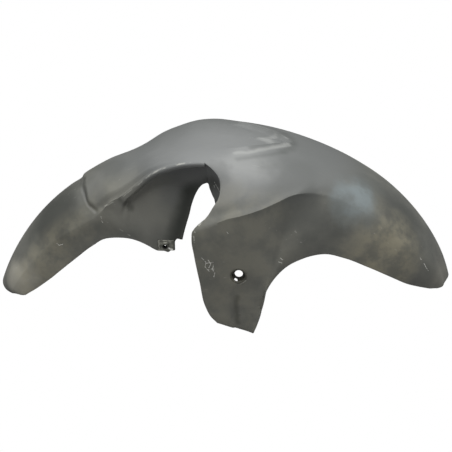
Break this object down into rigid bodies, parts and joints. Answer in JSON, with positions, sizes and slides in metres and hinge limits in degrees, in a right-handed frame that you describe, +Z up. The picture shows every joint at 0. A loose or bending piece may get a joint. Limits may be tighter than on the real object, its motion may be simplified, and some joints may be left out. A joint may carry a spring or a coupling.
{
  "type": "motorcycle front mudguard",
  "caption": "Front mudguard for a motorcycle: a long arched skin with a raised hood, fork-leg notches and a flared wing each side.",
  "frame": {"origin": "centre of the bounding box, on the floor that the tail and the two wing corners stand on", "axes": "+X to the nose, +Y to the bike's left, +Z up"},
  "size_m": [0.6108, 0.249, 0.2236],
  "materials": {
    "moulding": "semi-matt bare plastic, dusty and scratched",
    "clip": "dull zinc plate"
  },
  "bodies": {
    "root": {"mudguard": "moulding", "clip_nut_right": "clip", "clip_nut_left": "clip"}
  },
  "joints": []
}
